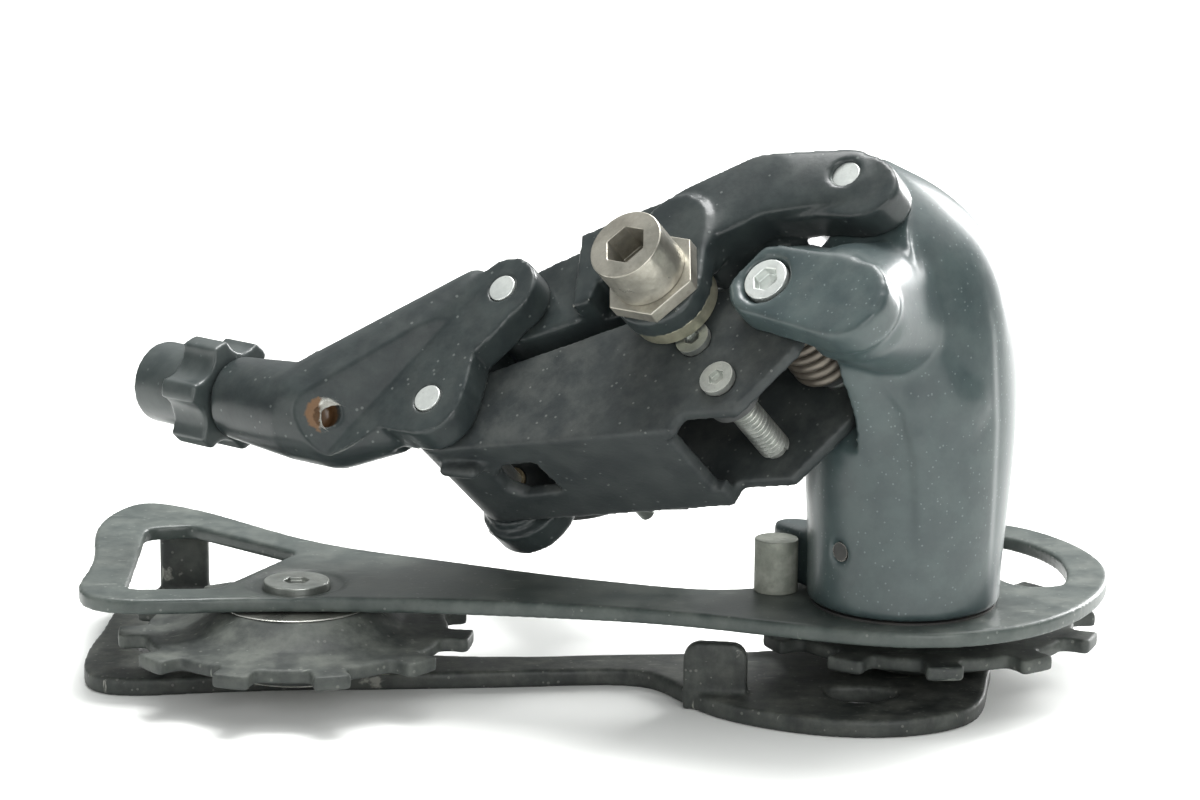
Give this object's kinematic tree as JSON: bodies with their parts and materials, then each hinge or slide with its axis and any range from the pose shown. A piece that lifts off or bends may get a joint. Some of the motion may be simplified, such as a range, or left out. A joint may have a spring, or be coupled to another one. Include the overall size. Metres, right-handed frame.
{
  "type": "rear derailleur",
  "caption": "Bicycle rear derailleur for a threaded frame hanger: slanted parallelogram, sprung knuckle and cage with two toothed pulleys.",
  "frame": {"origin": "hanger bolt's axis, on the link face that seats against the frame's hanger", "axes": "+Z points outboard along the hanger bolt, the bolt's thread points to -Z; +X runs from the tension pulley towards the guide pulley"},
  "size_m": [0.1391, 0.0896, 0.0745],
  "materials": {
    "anodised_black": "satin black anodised",
    "black_steel": "black oxide",
    "bushing": "sintered, oily",
    "screw_steel": "dull zinc",
    "painted_casting": "satin black paint with worn edges",
    "painted_knuckle": "blue-grey metallic paint, semi-gloss",
    "pin_steel": "bright staked steel",
    "black_plastic": "moulded",
    "knob_plastic": "moulded, slightly shiny",
    "brass_spacer": "tarnished",
    "worn_zinc": "plated, worn and grimy",
    "black_sheet": "matt black coated sheet steel",
    "spring_steel": "oiled",
    "dark_aluminium": "turned",
    "seal_rubber": "matt",
    "plate_aluminium": "grey-black anodised, edges worn bright",
    "plate_steel": "dark coated, scuffed and dusty",
    "corroded_steel": "corroded zinc",
    "bearing_steel": "polished",
    "pulley_plastic": "worn, dusty",
    "cap_steel": "pressed steel cap"
  },
  "bodies": {
    "hanger_link": {"hanger_link": "anodised_black", "body_axle_bolt": "black_steel"},
    "hanger_bolt": {"hanger_bolt": "black_steel"},
    "bracket_body": {"bracket_body": "painted_casting", "rear_inner_pin": "pin_steel", "rear_outer_pin": "pin_steel", "body_axle_bush": "bushing"},
    "b_tension_screw": {"b_tension_screw": "screw_steel"},
    "adjuster": {"adjuster_barrel": "black_steel", "adjuster_knob": "knob_plastic", "housing_ferrule": "black_plastic"},
    "outer_link": {"outer_link": "painted_casting", "front_outer_pin": "pin_steel", "rear_outer_bushes": "bushing", "cable_clamp_nut": "brass_spacer", "cable_clamp_bolt": "worn_zinc", "cable_clamp_plate": "worn_zinc"},
    "inner_link": {"inner_link": "black_sheet", "rear_inner_bushes": "bushing", "limit_screw_grip": "black_plastic", "spring_post": "screw_steel"},
    "low_limit_screw": {"low_limit_screw": "screw_steel"},
    "high_limit_screw": {"high_limit_screw": "screw_steel"},
    "knuckle": {"knuckle_body": "painted_knuckle", "knuckle_bush": "bushing", "front_inner_pin": "pin_steel", "front_outer_bush": "bushing", "axle_retaining_screw": "black_steel", "spring_sleeve": "black_plastic", "return_spring": "spring_steel", "cage_spring": "spring_steel"},
    "cage": {"cage_axle": "dark_aluminium", "cage_seal_ring": "seal_rubber", "cage_outer_plate": "plate_aluminium", "cage_inner_plate": "plate_steel", "cage_stop_pin": "corroded_steel", "guide_pulley_bolt": "screw_steel", "guide_pulley_sleeve": "bearing_steel", "tension_pulley_bolt": "screw_steel", "tension_spacers": "dark_aluminium", "bearing_inner_ring": "bearing_steel"},
    "guide_pulley": {"guide_pulley": "pulley_plastic", "guide_pulley_bush": "bushing"},
    "tension_pulley": {"tension_pulley": "pulley_plastic", "bearing_outer_ring": "bearing_steel", "bearing_balls": "bearing_steel", "bearing_seals": "seal_rubber", "tension_dust_caps": "cap_steel"}
  },
  "joints": [
    {"name": "hanger_bolt_turn", "type": "hinge", "parent": "hanger_link", "child": "hanger_bolt", "pos_m": [0, 0, 0], "axis": [0, 0, 1], "continuous": true},
    {"name": "bracket_swing", "type": "hinge", "parent": "hanger_link", "child": "bracket_body", "pos_m": [0.004, -0.018, 0.012], "axis": [0, 0, -1], "range_deg": [0, 40]},
    {"name": "b_tension_turn", "type": "hinge", "parent": "bracket_body", "child": "b_tension_screw", "pos_m": [0.0185, -0.029, 0.0092], "axis": [0, -1, 0], "range_deg": [-720, 1440]},
    {"name": "adjuster_turn", "type": "hinge", "parent": "bracket_body", "child": "adjuster", "pos_m": [-0.05089, -0.01803, 0.01862], "axis": [-0.7071, 0.7071, 0], "range_deg": [0, 1440]},
    {"name": "outer_link_swing", "type": "hinge", "parent": "bracket_body", "child": "outer_link", "pos_m": [0.00204, -0.0351, 0.02661], "axis": [0.5255, 0.5255, -0.6691], "range_deg": [0, 60], "stiffness_Nm_per_rad": 0.6, "springref_deg": -45.84},
    {"name": "inner_link_swing", "type": "hinge", "parent": "bracket_body", "child": "inner_link", "pos_m": [-0.00803, -0.04178, 0.01345], "axis": [0.5255, 0.5255, -0.6691], "range_deg": [0, 60]},
    {"name": "knuckle_level", "type": "hinge", "parent": "outer_link", "child": "knuckle", "pos_m": [0.04366, -0.05259, 0.04555], "axis": [-0.5255, -0.5255, 0.6691], "range_deg": [0, 60]},
    {"name": "low_limit_turn", "type": "hinge", "parent": "inner_link", "child": "low_limit_screw", "pos_m": [0.02166, -0.06681, 0.02757], "axis": [-0.5255, -0.5255, 0.6691], "range_deg": [-720, 720]},
    {"name": "high_limit_turn", "type": "hinge", "parent": "inner_link", "child": "high_limit_screw", "pos_m": [0.01931, -0.05983, 0.03121], "axis": [-0.5255, -0.5255, 0.6691], "range_deg": [-720, 720]},
    {"name": "cage_swing", "type": "hinge", "parent": "knuckle", "child": "cage", "pos_m": [0.047, -0.0532, 0.012], "axis": [0, 0, 1], "range_deg": [0, 110], "stiffness_Nm_per_rad": 0.35, "springref_deg": -68.75},
    {"name": "guide_pulley_spin", "type": "hinge", "parent": "cage", "child": "guide_pulley", "pos_m": [0.052, -0.041, -0.0109], "axis": [0, 0, 1], "continuous": true},
    {"name": "tension_pulley_spin", "type": "hinge", "parent": "cage", "child": "tension_pulley", "pos_m": [-0.0328, -0.041, -0.0109], "axis": [0, 0, 1], "continuous": true}
  ],
  "couplings": [
    {"joint": "inner_link_swing", "follows": "outer_link_swing", "ratio": 1},
    {"joint": "knuckle_level", "follows": "outer_link_swing", "ratio": 1}
  ]
}
